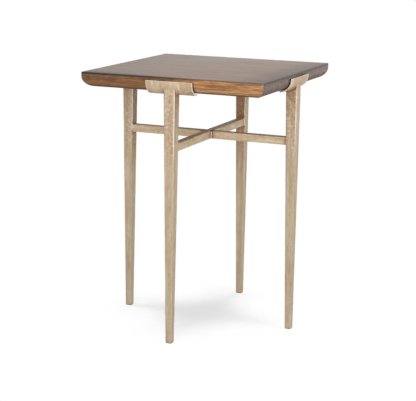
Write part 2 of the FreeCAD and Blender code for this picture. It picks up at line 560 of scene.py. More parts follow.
    def _shelter(self, piece: Workpiece) -> list[float]:
        """Painted shade and glaze under the top: far down on inward faces, only high up on sideways
        ones.

        Args:
            piece: The piece.

        Returns:
            One value per point, from 0 to 1.
        """
        shares = []
        for point in piece.obj.data.vertices:
            outward = self._outward(point.co, point.normal)
            inner_rise = self._rise(point.co.z, self.inner_shelter) ** 1.3
            side_rise = self._rise(point.co.z, self.side_shelter) ** 2.8
            sideways = unit(1.2 - 2 * abs(outward))
            shares.append(max(self.inner_most * self._inward(outward) * inner_rise,
                              self.sideways_most * sideways * side_rise))
        return shares

    def _handled(self, height: float) -> float:
        """How much hands and cloths rub an edge at a height, and how strong its painted highlight
        is: most under the top.
        """
        return self.unhandled_share + (1 - self.unhandled_share) * self._rise(height, self.handled)

    @staticmethod
    def _rise(height: float, span: Span) -> float:
        """How far up between two heights a height is, from 0 to 1."""
        low, high = span
        return unit((height - low) / (high - low))

    @staticmethod
    def _inward_share(outward: float) -> float:
        """1 on surfaces that look sideways or inwards, falling to 0 on outward ones."""
        return unit(2.2 - 2.2 * outward)

    @staticmethod
    def _inward(outward: float) -> float:
        """1 on surfaces that look well inwards, falling to 0 on sideways and outward ones."""
        return unit(-2 * outward - 0.4)

    def _outward(self, place: Vector, normal: Vector) -> float:
        """How squarely a surface looks away from the table's middle, fading out close to it.

        Args:
            place: A place on the surface.
            normal: Where the surface faces there.

        Returns:
            1 where it looks straight away, -1 where it looks straight to the middle.
        """
        away = Vector((place.x, place.y, 0))
        share = unit(away.length / self.middle_reach)
        return share * away.normalized().dot(normal)


@dataclass(frozen=True)
class WoodSlab:
    """The thick top: a quarter round under its rim, mitred corners and an eased upper edge."""

    rim_radius: float = 25 * MM
    rim_segments: int = 14
    corner_round: float = 1.4 * MM
    edge_ease: float = 1.5 * MM
    ease_segments: int = 3
    board_cuts: int = 44
    wear_depth: float = 0.5 * MM
    wear_spacing: float = 14 * MM
    wear_band: float = 4 * MM

    def build(self) -> Workpiece:
        """Models the slab where its solid is.

        Returns:
            The slab.
        """
        low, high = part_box("table_top")
        slab = Workpiece.block("wood_slab", low, high)
        with slab.shaping():
            slab.pick_edges(lambda edge: all(close_to(v.co.z, low.z) for v in edge.verts))
            slab.round_edges(self.rim_radius, self.rim_segments)
            slab.pick_edges(lambda edge: self._is_mitre(edge, low))
            slab.round_edges(self.corner_round, 2)
            slab.pick_edges(lambda edge: self._is_upper_arris(edge, high))
            slab.round_edges(self.edge_ease, self.ease_segments)
            slab.pick_edges(lambda edge: edge.calc_length() > high.x)
            slab.divide(self.board_cuts)
        slab.clean()
        self._wear(slab, high)
        slab.smooth()
        return slab

    def _is_mitre(self, edge: bmesh.types.BMEdge, low: Vector) -> bool:
        """True on the corner lines, from the upper corners down to the flat underside."""
        on_corner = all(close_to(abs(v.co.x), abs(v.co.y)) for v in edge.verts)
        return on_corner and any(v.co.z > low.z + self.corner_round for v in edge.verts)

    def _is_upper_arris(self, edge: bmesh.types.BMEdge, high: Vector) -> bool:
        """True on the outline of the upper face."""
        on_top = all(close_to(v.co.z, high.z) for v in edge.verts)
        return on_top and not edge.link_faces[0].normal.z * edge.link_faces[1].normal.z > 0.5

    def _wear(self, slab: Workpiece, high: Vector) -> None:
        """Leaves the eased edge slightly uneven, as rubbing by hand does.

        Args:
            slab: The slab.
            high: Its highest corner.
        """
        group = slab.obj.vertex_groups.new(name="arris")
        band = [v.index for v in slab.obj.data.vertices
                if v.co.z > high.z - self.wear_band
                and max(abs(v.co.x), abs(v.co.y)) > high.x - self.wear_band]
        group.add(band, 1.0, "REPLACE")
        slab.roughen(self.wear_depth, self.wear_spacing, group.name)


@dataclass(frozen=True)
class Bracket:
    """A saddle of bent sheet: a screwed tab under the slab, a quarter round and an upright lip."""

    thickness: float = 3.5 * MM
    bend_radius: float = 31 * MM
    bend_segments: int = 16
    tab_width: float = 80 * MM
    tab_corner: float = 6 * MM
    tab_corner_segments: int = 5
    cuts_across_tab: int = 20
    cuts_along_tab: tuple[int, int] = (2, 8)
    edge_round: float = 0.8 * MM
    sharp_angle: float = math.radians(50)
    # Width of the rim band that is worn and given a painted highlight.
    rubbed_rim: float = 1.2 * MM
    stained_length: float = 22 * MM
    stained_height: float = 14 * MM
    most_stain: float = 0.55
    screw_hole: float = 4.8 * MM
    screw_spacing: float = 52 * MM
    screw_inset: float = 14 * MM

    def build(self) -> Workpiece:
        """Models the bracket on the +X side.

        Returns:
            The bracket.
        """
        low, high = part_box("saddle_right")
        bend_x = high.x - self.bend_radius
        bend_z = low.z + self.bend_radius
        middle = Vector(((low.x + bend_x) / 2, 0, low.z))
        tab = self.tab_width / 2
        sheet = Workpiece.sheet("bracket", middle, bend_x - low.x, high.y - low.y)
        with sheet.shaping():
            sheet.slice_across(1, (-tab, tab))
            sheet.pick_edges(lambda edge: all(close_to(v.co.x, bend_x) for v in edge.verts))
            bpy.ops.mesh.spin(
                steps=self.bend_segments, angle=math.pi / 2, use_auto_merge=True,
                center=(bend_x, 0, bend_z), axis=(0, 1, 0))
            sheet.pick_edges(lambda edge: all(close_to(v.co.z, bend_z) for v in edge.verts))
            bpy.ops.mesh.extrude_region_move(
                TRANSFORM_OT_translate={"value": (0, 0, high.z - bend_z)})
            self._trim_tab(sheet, low, tab)
            step = self.tab_width / self.cuts_across_tab
            reach = round(high.y / step)
            sheet.slice_across(1, (number * step for number in range(-reach, reach + 1)
                                   if abs(number * step) < high.y - step / 2))
            sheet.slice_across(0, (low.x + number * step for number in range(*self.cuts_along_tab)))
            sheet.slice_across(1, (self.rubbed_rim - high.y, high.y - self.rubbed_rim))
            sheet.slice_across(2, (high.z - self.rubbed_rim,))
        sheet.clean()
        sheet.apply("SOLIDIFY", thickness=self.thickness, offset=-1, use_even_offset=True)
        self._drill(sheet, low)
        sheet.roughen()
        sheet.apply(
            "BEVEL", width=self.edge_round, segments=2, limit_method="ANGLE",
            angle_limit=self.sharp_angle, miter_outer="MITER_ARC", use_clamp_overlap=True)
        sheet.smooth()
        return sheet

    def _trim_tab(self, sheet: Workpiece, low: Vector, tab: float) -> None:
        """Takes the flat part away at both sides of the tab and rounds the tab's free corners.

        Args:
            sheet: The sheet, in edit mode.
            low: Its lowest corner.
            tab: Half the tab's width.
        """
        sheet.pick_faces(lambda face: close_to(face.calc_center_median().z, low.z)
                         and abs(face.calc_center_median().y) > tab)
        bpy.ops.mesh.delete(type="FACE")
        bpy.ops.mesh.select_mode(type="VERT")
        bpy.ops.mesh.select_all(action="DESELECT")
        mesh = bmesh.from_edit_mesh(sheet.obj.data)
        for point in mesh.verts:
            point.select_set(close_to(point.co.x, low.x))
        bmesh.update_edit_mesh(sheet.obj.data)
        bpy.ops.mesh.bevel(
            offset=self.tab_corner, segments=self.tab_corner_segments, profile=0.5,
            affect="VERTICES", clamp_overlap=False)

    def rim_wear(self) -> Callable[[Vector], float]:
        """How rubbed the sheet's rims are, with a painted highlight along them.

        Returns:
            A function of a place on the +X side's bracket: 1 on the edges, 0 further in.
        """
        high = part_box("saddle_right")[1]

        def wear(place: Vector) -> float:
            """Wear and painted highlight at a place."""
            gap = min(high.z - place.z, high.y - abs(place.y))
            return unit(1 - gap / self.rubbed_rim)

        return wear

    def corner_stain(self) -> Callable[[Vector], float]:
        """How much glaze stays at the lower ends of the bend.

        Returns:
            A function of a place on the +X side's bracket: most at its lower corners.
        """
        low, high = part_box("saddle_right")

        def stain(place: Vector) -> float:
            """Glaze at a place."""
            beside = (abs(place.y) - high.y + self.stained_length) / self.stained_length
            below = (low.z + self.stained_height - place.z) / self.stained_height
            return self.most_stain * unit(beside) * unit(2 * below)

        return stain

    def outside(self) -> Workpiece:
        """The bracket's outer surface as a filled block, up to above the legs' tops.

        Returns:
            The block, on the +X side.
        """
        low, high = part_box("saddle_right")
        block = Workpiece.block("bracket_outside", low, high)
        with block.shaping():
            block.pick_edges(lambda edge: all(
                close_to(v.co.x, high.x) and close_to(v.co.z, low.z) for v in edge.verts))
            block.round_edges(self.bend_radius, self.bend_segments)
        return block

    def _drill(self, sheet: Workpiece, low: Vector) -> None:
        """Opens the two screw holes in the tab.

        Args:
            sheet: The sheet with its thickness.
            low: Its lowest corner.
        """
        for side in (-1, 1):
            centre = Vector((low.x + self.screw_inset, side * self.screw_spacing / 2, low.z))
            sheet.combine(
                Workpiece.rod("drill", centre, self.screw_hole, 4 * self.thickness), "DIFFERENCE")


@dataclass(frozen=True)
class TaperedLeg:
    """A square tube leg that narrows to its foot, coped to the bracket at its head."""

    head_side: float = 28.8 * MM
    foot_side: float = 16 * MM
    lean: float = 2 * MM
    arris_radius: float = 2.5 * MM
    arris_segments: int = 4
    foot_round: float = 0.5 * MM
    wall: float = 2 * MM
    bore_depth: float = 18 * MM
    cuts_along: int = 140
    cuts_across: int = 5

    def outline(self) -> Workpiece:
        """The plain taper with its rounded arrises, on the +X side.

        Returns:
            The taper, up to the height of the brackets' lips.
        """
        leg_low, leg_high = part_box("leg_right")
        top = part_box("saddle_right")[1].z
        foot_outer = self._foot_outer_x(leg_high)
        low = Vector((foot_outer - self.foot_side, -self.foot_side / 2, leg_low.z))
        high = Vector((foot_outer, self.foot_side / 2, top))
        taper = Workpiece.block("leg", low, high)
        scale = self.head_side / self.foot_side
        with taper.shaping():
            taper.pick_faces(lambda face: face.normal.z > 0.5)
            bpy.ops.transform.resize(value=(scale, scale, 1), center_override=(foot_outer, 0, top))
            bpy.ops.transform.translate(value=(self.lean, 0, 0))
            taper.pick_edges(lambda edge: runs_along(edge, 2))
            taper.round_edges(self.arris_radius, self.arris_segments)
        return taper

    def _foot_outer_x(self, leg_high: Vector) -> float:
        """Outer face of the foot: the coped head stands proud of it by most of the lean.

        Args:
            leg_high: Highest corner of the leg's solid.

        Returns:
            Its place on the X axis.
        """
        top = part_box("saddle_right")[1].z
        rise = leg_high.z / top
        return leg_high.x - self.lean * rise

    def build(self, bracket_outside: Workpiece) -> Workpiece:
        """Models the leg on the +X side.

        Args:
            bracket_outside: Block that copes its head. It is used up.

        Returns:
            The leg.
        """
        leg = self.outline()
        foot_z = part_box("leg_right")[0].z
        with leg.shaping():
            leg.pick_edges(lambda edge: runs_along(edge, 2))
            leg.divide(self.cuts_along)
            leg.pick_edges(lambda edge: not runs_along(edge, 2)
                           and edge.calc_length() > self.foot_side / 2)
            leg.divide(self.cuts_across)
            leg.pick_faces(lambda face: face.normal.z < -0.5)
            bpy.ops.mesh.inset(thickness=self.wall, use_even_offset=True)
            bpy.ops.mesh.extrude_region_move(
                TRANSFORM_OT_translate={"value": (0, 0, self.bore_depth)})
        leg.combine(bracket_outside, "DIFFERENCE")
        leg.clean()
        with leg.shaping():
            leg.pick_edges(lambda edge: all(close_to(v.co.z, foot_z) for v in edge.verts)
                           and edge.calc_face_angle(0.0) > 1.0)
            leg.round_edges(self.foot_round, 2)
        leg.roughen()
        leg.smooth()
        return leg


@dataclass(frozen=True)
class CrossBars:
    """Square bars that cross in the middle: one runs through, two butt on it."""

    arris_radius: float = 1.5 * MM
    arris_segments: int = 3
    cut_length: float = 4.5 * MM
    cuts_across: int = 5
    # Glaze and painted shade at the bars' ends where they meet the legs, most at the right.
    stained_end: float = 6 * MM
    right_stain: float = 0.95
    through_stain: float = 0.6

    def outline(self, node: str) -> Workpiece:
        """A bar with rounded arrises.

        Args:
            node: The solid that gives its place.

        Returns:
            The bar.
        """
        low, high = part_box(node)
        length_axis = self._length_axis(low, high)
        bar = Workpiece.block(node, low, high)
        with bar.shaping():
            bar.pick_edges(lambda edge: runs_along(edge, length_axis))
            bar.round_edges(self.arris_radius, self.arris_segments)
        return bar

    def build(self, node: str) -> Workpiece:
        """Models one bar.

        Args:
            node: The solid that gives its place.

        Returns:
            The bar.
        """
        bar = self.outline(node)
        low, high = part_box(node)
        length_axis = self._length_axis(low, high)
        side = high.z - low.z
        with bar.shaping():
            bar.pick_edges(lambda edge: runs_along(edge, length_axis))
            bar.divide(round((high - low)[length_axis] / self.cut_length))
            bar.pick_edges(lambda edge: not runs_along(edge, length_axis)
                           and edge.calc_length() > side / 2)
            bar.divide(self.cuts_across)
        bar.clean()
        bar.roughen()
        bar.smooth()
        return bar

    def end_stain(self, node: str) -> Callable[[Vector], float]:
        """How much glaze and painted shade a bar gets where it meets its legs: most at the right,
        none at the left.

        Args:
            node: The solid that gives the bar's place.

        Returns:
            A function of a place on the bar.
        """
        low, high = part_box(node)
        length_axis = self._length_axis(low, high)
        stains = {"cross_bar_right": self.right_stain, "cross_bar_through": self.through_stain}
        most = stains.get(node, 0.0)

        def stain(place: Vector) -> float:
            """Glaze and painted shade at a place."""
            gap = high[length_axis] - abs(place[length_axis])
            return most * unit(1 - gap / self.stained_end)

        return stain

    @staticmethod
    def _length_axis(low: Vector, high: Vector) -> int:
        """Axis along which a bar runs: 0 for X, 1 for Y."""
        return 1 if high.y - low.y > high.x - low.x else 0


@dataclass(frozen=True)
class WeldFillet:
    """The hollow fillet that a weld leaves along the seam of two joined pieces."""

    width: float = 2.2 * MM
    segments: int = 4
    depth: float = 0.8 * MM
    seam_angle: float = math.radians(-15)
    smooth_angle: float = 60.0

    def build(self, name: str, parts: list[Workpiece], upright: bool = False) -> Workpiece:
        """Joins plain parts, rounds out their seam and keeps only the new surface.

        Args:
            name: The fillet's name.
            parts: Plain parts that touch. They are used up.
            upright: Whether only the seam's upright stretches are welded.

        Returns:
            The fillet, closed, with most of its depth inside the parts.
        """
        body = parts[0]
        for part in parts[1:]:
            body.combine(part, "UNION")
        body.clean()
        with body.shaping():
            seam = body.pick_edges(
                lambda edge: len(edge.link_faces) == 2
                and edge.calc_face_angle_signed(0.0) < self.seam_angle
                and (not upright or runs_along(edge, 2, 0.9)))
            body.round_edges(self.width, self.segments)
            bpy.ops.mesh.separate(type="SELECTED")
        fillet = next(obj for obj in bpy.context.selected_objects if obj is not body.obj)
        fillet.name = name
        fillet.data.name = name
        body.discard()
        log.info("%s follows %d seam edges", name, seam)
        strip = Workpiece(fillet)
        strip.roughen()
        strip.apply("SOLIDIFY", thickness=self.depth, offset=-1)
        strip.smooth(self.smooth_angle)
        return strip


class ShaderBoard:
    """Adds and links the nodes of one shader tree."""

    def __init__(self, tree: bpy.types.NodeTree) -> None:
        """Works on a tree.

        Args:
            tree: The tree of a material, a world or a group.
        """
        self.tree = tree

    def feed(self, socket: Socket, value: Value) -> None:
        """Gives an input its value, or links it to the socket that has it.

        Args:
            socket: The input.
            value: A value or a socket.
        """
        if isinstance(value, bpy.types.NodeSocket):
            self.tree.links.new(value, socket)
        else:
            socket.default_value = value

    def add(self, kind: str, inputs: dict | None = None, **settings: object) -> bpy.types.Node:
        """Adds a node.

        Args:
            kind: Its type.
            inputs: What each input gets, by name or number: a value, or a socket to link.
            settings: Values of its properties.

        Returns:
            The node.
        """
        node = self.tree.nodes.new(kind)
        for name, value in settings.items():
            setattr(node, name, value)
        for name, value in (inputs or {}).items():
            self.feed(node.inputs[name], value)
        return node

    def group(self, group: bpy.types.NodeTree, inputs: dict) -> Sockets:
        """Places a shared effect with this material's own values.

        Args:
            group: The effect.
            inputs: What each of its inputs gets.

        Returns:
            Its outputs.
        """
        return self.add("ShaderNodeGroup", inputs, node_tree=group).outputs

    def place(self) -> Socket:
        """Coordinates of a piece in the table's frame."""
        return self.add("ShaderNodeTexCoord").outputs["Object"]

    def mark(self, name: str) -> Socket:
        """Value of a piece's own attribute."""
        return self.add("ShaderNodeAttribute", attribute_name=name).outputs["Fac"]

    def normal(self) -> Socket:
        """Where the surface faces."""
        return self.add("ShaderNodeNewGeometry").outputs["Normal"]

    def split(self, vector: Socket) -> Sockets:
        """X, Y and Z of a vector, by name."""
        return self.add("ShaderNodeSeparateXYZ", {0: vector}).outputs

    def stretched(self, vector: Socket, factors: Value) -> Socket:
        """A vector with each part multiplied by its own factor."""
        return self.add(
            "ShaderNodeVectorMath", {0: vector, 1: factors}, operation="MULTIPLY").outputs[0]

    def dot(self, first: Socket, second: Value) -> Socket:
        """Scalar product of two vectors.

        Args:
            first: The first vector.
            second: The second, as a value or a socket.

        Returns:
            The product.
        """
        return self.add(
            "ShaderNodeVectorMath", {0: first, 1: second}, operation="DOT_PRODUCT"
        ).outputs["Value"]

    def math(self, operation: str, *values: Value, clamp: bool = False) -> Socket:
        """A Math node on values or sockets.

        Args:
            operation: The operation.
            values: Its operands.
            clamp: Whether the result is kept between 0 and 1.

        Returns:
            Its result.
        """
        return self.add(
            "ShaderNodeMath", dict(enumerate(values)), operation=operation,
            use_clamp=clamp).outputs[0]

    def _in_turn(self, operation: str, values: tuple[Value, ...]) -> Socket:
        """Math nodes that take in one more value each.

        Args:
            operation: The operation of them all.
            values: Two or more values or sockets.

        Returns:
            The last result.
        """
        result = values[0]
        for value in values[1:]:
            result = self.math(operation, result, value)
        return result

    def sum(self, *values: Value) -> Socket:
        """All values added up."""
        return self._in_turn("ADD", values)

    def product(self, *values: Value) -> Socket:
        """All values multiplied."""
        return self._in_turn("MULTIPLY", values)

    def greatest(self, *values: Value) -> Socket:
        """The greatest of all values."""
        return self._in_turn("MAXIMUM", values)

    def less(self, value: Value, taken: Value) -> Socket:
        """A value less another."""
        return self.math("SUBTRACT", value, taken)

    def size(self, value: Socket) -> Socket:
        """A value without its sign."""
        return self.math("ABSOLUTE", value)

    def noise(self, vector: Socket, scale: Value, detail: float = 3.0,
              roughness: float = 0.55) -> Socket:
        """A Noise texture's value.

        Args:
            vector: Its coordinates.
            scale: Patches per metre.
            detail: Octaves.
            roughness: Weight of the finer octaves.

        Returns:
            The value, about 0.5 on average.
        """
        return self.add(
            "ShaderNodeTexNoise",
            {"Vector": vector, "Scale": scale, "Detail": detail, "Roughness": roughness}
        ).outputs["Fac"]

    def sway(self, vector: Socket, scale: float, detail: float, reach: Value) -> Socket:
        """A slow drift to both sides of 0.

        Args:
            vector: Its coordinates.
            scale: Swings per metre.
            detail: Octaves.
            reach: What the noise is multiplied by.

        Returns:
            The drift.
        """
        return self.product(self.less(self.noise(vector, scale, detail), 0.5), reach)

    def between(self, value: Socket, low: Value, high: Value, to_low: Value = 0.0,
                to_high: Value = 1.0) -> Socket:
        """Maps a range smoothly onto another.

        Args:
            value: The value.
            low: Start of its range.
            high: End of its range.
            to_low: What the start becomes.
            to_high: What the end becomes.

        Returns:
            The mapped value.
        """
        return self.add(
            "ShaderNodeMapRange",
            {"Value": value, "From Min": low, "From Max": high, "To Min": to_low,
             "To Max": to_high}, interpolation_type="SMOOTHSTEP").outputs["Result"]

    def blend(self, share: Value, first: Value, second: Value, how: str = "MIX") -> Socket:
        """Mixes two colours.

        Args:
            share: Share of the second, as a value or socket.
            first: First colour or socket.
            second: Second colour or socket.
            how: Blend type.

        Returns:
            The mixed colour.
        """
        node = self.add("ShaderNodeMix", data_type="RGBA", blend_type=how, clamp_factor=True)
        self.feed(node.inputs[0], share)
        for socket, colour in ((node.inputs[6], first), (node.inputs[7], second)):
            self.feed(socket, (*colour, 1.0) if isinstance(colour, tuple) else colour)
        return node.outputs[2]

    def surface(self, shader: bpy.types.Node, colour: Socket, roughness: Socket,
                height: Socket, relief: float) -> None:
        """Feeds a Principled shader from colour, roughness and height.

        Args:
            shader: The shader.
            colour: Colour over the surface.
            roughness: Roughness over the surface.
            height: Height over the surface, 0 to 1.
            relief: Depth of the relief.
        """
        bump = self.add(
            "ShaderNodeBump", {"Height": height, "Distance": relief, "Strength": 1.0})
        self.feed(shader.inputs["Base Color"], colour)
        self.feed(shader.inputs["Roughness"], roughness)
        self.feed(shader.inputs["Normal"], bump.outputs["Normal"])


def srgb(red: int, green: int, blue: int) -> Colour:
    """Turns a colour as it looks on screen into the shader's linear values.

    Args:
        red: Red, 0 to 255.
        green: Green, 0 to 255.
        blue: Blue, 0 to 255.

    Returns:
        The linear colour.
    """
    shares = (red / 255, green / 255, blue / 255)
    return tuple(share / 12.92 if share <= 0.04045 else ((share + 0.055) / 1.055) ** 2.4
                 for share in shares)


def new_material(name: str) -> tuple[bpy.types.Material, ShaderBoard, bpy.types.Node]:
    """Starts a material.

    Args:
        name: Its name.

    Returns:
        The material, its board and its Principled shader.
    """
    material = bpy.data.materials.new(name)
    material.use_nodes = True
    shader = material.node_tree.nodes["Principled BSDF"]
    return material, ShaderBoard(material.node_tree), shader


@dataclass(frozen=True)
class Grain:
    """Streaks: how many per metre along X, Y and Z, and how far they bend, in metres."""

    lay: tuple[float, ...]
    bend: float


@dataclass(frozen=True)
class Cloud:
    """Soft patches: how many per metre, and how much of the surface they cover, 0 to 1."""

    scale: float
    cover: float


@dataclass
class SharedEffects:
    """Shader effects that several finishes use, each built once as a node group.

    Scales are patches per metre, apart from that of the broad bands, which is a share of the fine
    lines' own. A facing is how squarely a face looks a way, from where an effect starts to where
    it is full.
    """

    bend_scale: float = 9.0
    broad_scale: float = 0.28
    patch_edge: float = 0.2
    stretch_scale: float = 7.0
    # Edges that look towards this direction get a painted highlight on top of their wear.
    rubbed_towards: tuple[float, float, float] = (0.68, -0.73, 0.0)
    rubbed_facing: Span = (0.8, 0.96)
    # How squarely a face must look up to get painted shade as a ledge.
    ledge_facing: Span = (0.75, 0.98)
    nook_scale: float = 160.0
    speckle_scale: float = 230.0
    dot_scale: float = 290.0
    streaks: bpy.types.NodeTree = field(init=False)
    patches: bpy.types.NodeTree = field(init=False)
    rubbed_edge: bpy.types.NodeTree = field(init=False)
    settled_glaze: bpy.types.NodeTree = field(init=False)

    def __post_init__(self) -> None:
        """Builds the groups."""
        self.streaks = self._streaks()
        self.patches = self._patches()
        self.rubbed_edge = self._rubbed_edge()
        self.settled_glaze = self._settled_glaze()

    def grain(self, board: ShaderBoard, place: Socket, grain: Grain) -> Sockets:
        """Places streaks in a material.

        Args:
            board: The material's board.
            place: Its coordinates.
            grain: The streaks' lay and bend.

        Returns:
            The masks Fine and Broad.
        """
        return board.group(
            self.streaks, {"Coordinates": place, "Lay": grain.lay, "Bend": grain.bend})

    def clouds(self, board: ShaderBoard, place: Socket, cloud: Cloud) -> Socket:
        """Places patches in a material.

        Args:
            board: The material's board.
            place: Its coordinates.
            cloud: The patches' scale and cover.

        Returns:
            Their mask.
        """
        return board.group(
            self.patches, {"Coordinates": place, "Scale": cloud.scale, "Cover": cloud.cover}
        )["Mask"]

    @staticmethod
    def _group(name: str, inputs: dict[str, str], outputs: tuple[str, ...]
               ) -> tuple[ShaderBoard, Sockets, Sockets]:
        """Starts a group with named inputs, and with outputs that are all values.

        Args:
            name: The group's name.
            inputs: Names of its inputs, each with its kind.
            outputs: Names of its outputs.

        Returns:
            Its board, what it is given and what it puts out.
        """
        tree = bpy.data.node_groups.new(name, "ShaderNodeTree")
        for socket, kind in inputs.items():
            tree.interface.new_socket(socket, in_out="INPUT", socket_type="NodeSocket" + kind)
        for socket in outputs:
            tree.interface.new_socket(socket, in_out="OUTPUT", socket_type="NodeSocketFloat")
        board = ShaderBoard(tree)
        return board, board.add("NodeGroupInput").outputs, board.add("NodeGroupOutput").inputs

    def _streaks(self) -> bpy.types.NodeTree:
        """Fine lines drawn out along one direction, with slower bands among them.

        Returns:
            The group.
        """
        board, given, result = self._group(
            "streaks", {"Coordinates": "Vector", "Lay": "Vector", "Bend": "Float"},
            ("Fine", "Broad"))
        place = given["Coordinates"]
        bend = board.sway(place, self.bend_scale, 2.0, given["Bend"])
        moved = board.add(
            "ShaderNodeVectorMath", {0: place, 1: bend}, operation="ADD").outputs[0]
        drawn = board.stretched(moved, given["Lay"])
        fine = board.noise(drawn, 1.0, 4.0, 0.65)
        broad = board.noise(drawn, self.broad_scale, 3.0, 0.5)
        board.feed(result["Fine"], board.between(fine, 0.3, 0.7))
        board.feed(result["Broad"], board.between(broad, 0.32, 0.68))
        return board.tree

    def _patches(self) -> bpy.types.NodeTree:
        """Cloudy patches with soft edges.

        Returns:
            The group.
        """
        board, given, result = self._group(
            "patches", {"Coordinates": "Vector", "Scale": "Float", "Cover": "Float"}, ("Mask",))
        cloud = board.noise(given["Coordinates"], given["Scale"], 3.0, 0.5)
        start = board.less(0.76, board.product(given["Cover"], 0.5))
        end = board.sum(start, self.patch_edge)
        board.feed(result["Mask"], board.between(cloud, start, end))
        return board.tree

    def _rubbed_edge(self) -> bpy.types.NodeTree:
        """Edges rubbed bright, in stretches, plus a painted highlight that is strongest where they
        look to the front right.

        Returns:
            The group.
        """
        board, given, result = self._group(
            "rubbed_edge",
            {"Coordinates": "Vector", "Edge": "Float", "Breaks": "Float", "Amount": "Float",
             "One Sided": "Float"}, ("Mask",))
        place = given["Coordinates"]
        breaks = board.less(board.noise(place, given["Breaks"], 3.0, 0.6), 0.5)
        reach = board.sum(given["Edge"], breaks)
        stretch = board.between(board.noise(place, self.stretch_scale, 1.0), 0.35, 0.6, 0.35, 1.0)
        # Painted highlight: edges that look to the front right are brightened most.
        towards = board.dot(board.normal(), self.rubbed_towards)
        other_sides = board.less(1.0, given["One Sided"])
        side = board.between(towards, *self.rubbed_facing, other_sides, 1.0)
        mask = board.product(board.between(reach, 0.5, 1.0), stretch, side)
        board.feed(result["Mask"], board.math("MULTIPLY", mask, given["Amount"], clamp=True))
        return board.tree

    def _settled_glaze(self) -> bpy.types.NodeTree:
        """Glaze and painted shade left in nooks, under the top and on ledges; thick in nooks and in
        dots.

        Returns:
            The group.
        """
        board, given, result = self._group(
            "settled_glaze",
            {"Coordinates": "Vector", "Nook": "Float", "Ledge": "Float", "Shelter": "Float"},
            ("Mask", "Thick"))
        place = given["Coordinates"]
        upwards = board.split(board.normal())["Z"]
        # Painted shade on faces that look up.
        ledge = board.product(board.between(upwards, *self.ledge_facing), given["Ledge"])
        ragged = board.between(board.noise(place, self.nook_scale), 0.25, 0.75, 0.65, 1.4)
        # Glaze and painted shade in nooks.
        nook = board.product(given["Nook"], ragged)
        speckle = board.between(board.noise(place, self.speckle_scale), 0.36, 0.6, 0.38, 1.0)
        # Painted shade with glaze under the top, in speckles.
        shelter = board.product(given["Shelter"], speckle)
        dots = board.between(board.noise(place, self.dot_scale), 0.54, 0.64, 0.0, 0.65)
        dots = board.product(given["Shelter"], dots)
        mask = board.math("MAXIMUM", board.greatest(nook, shelter), ledge, clamp=True)
        board.feed(result["Mask"], mask)
        board.feed(result["Thick"], board.greatest(board.between(nook, 0.55, 1.0), dots))
        return board.tree


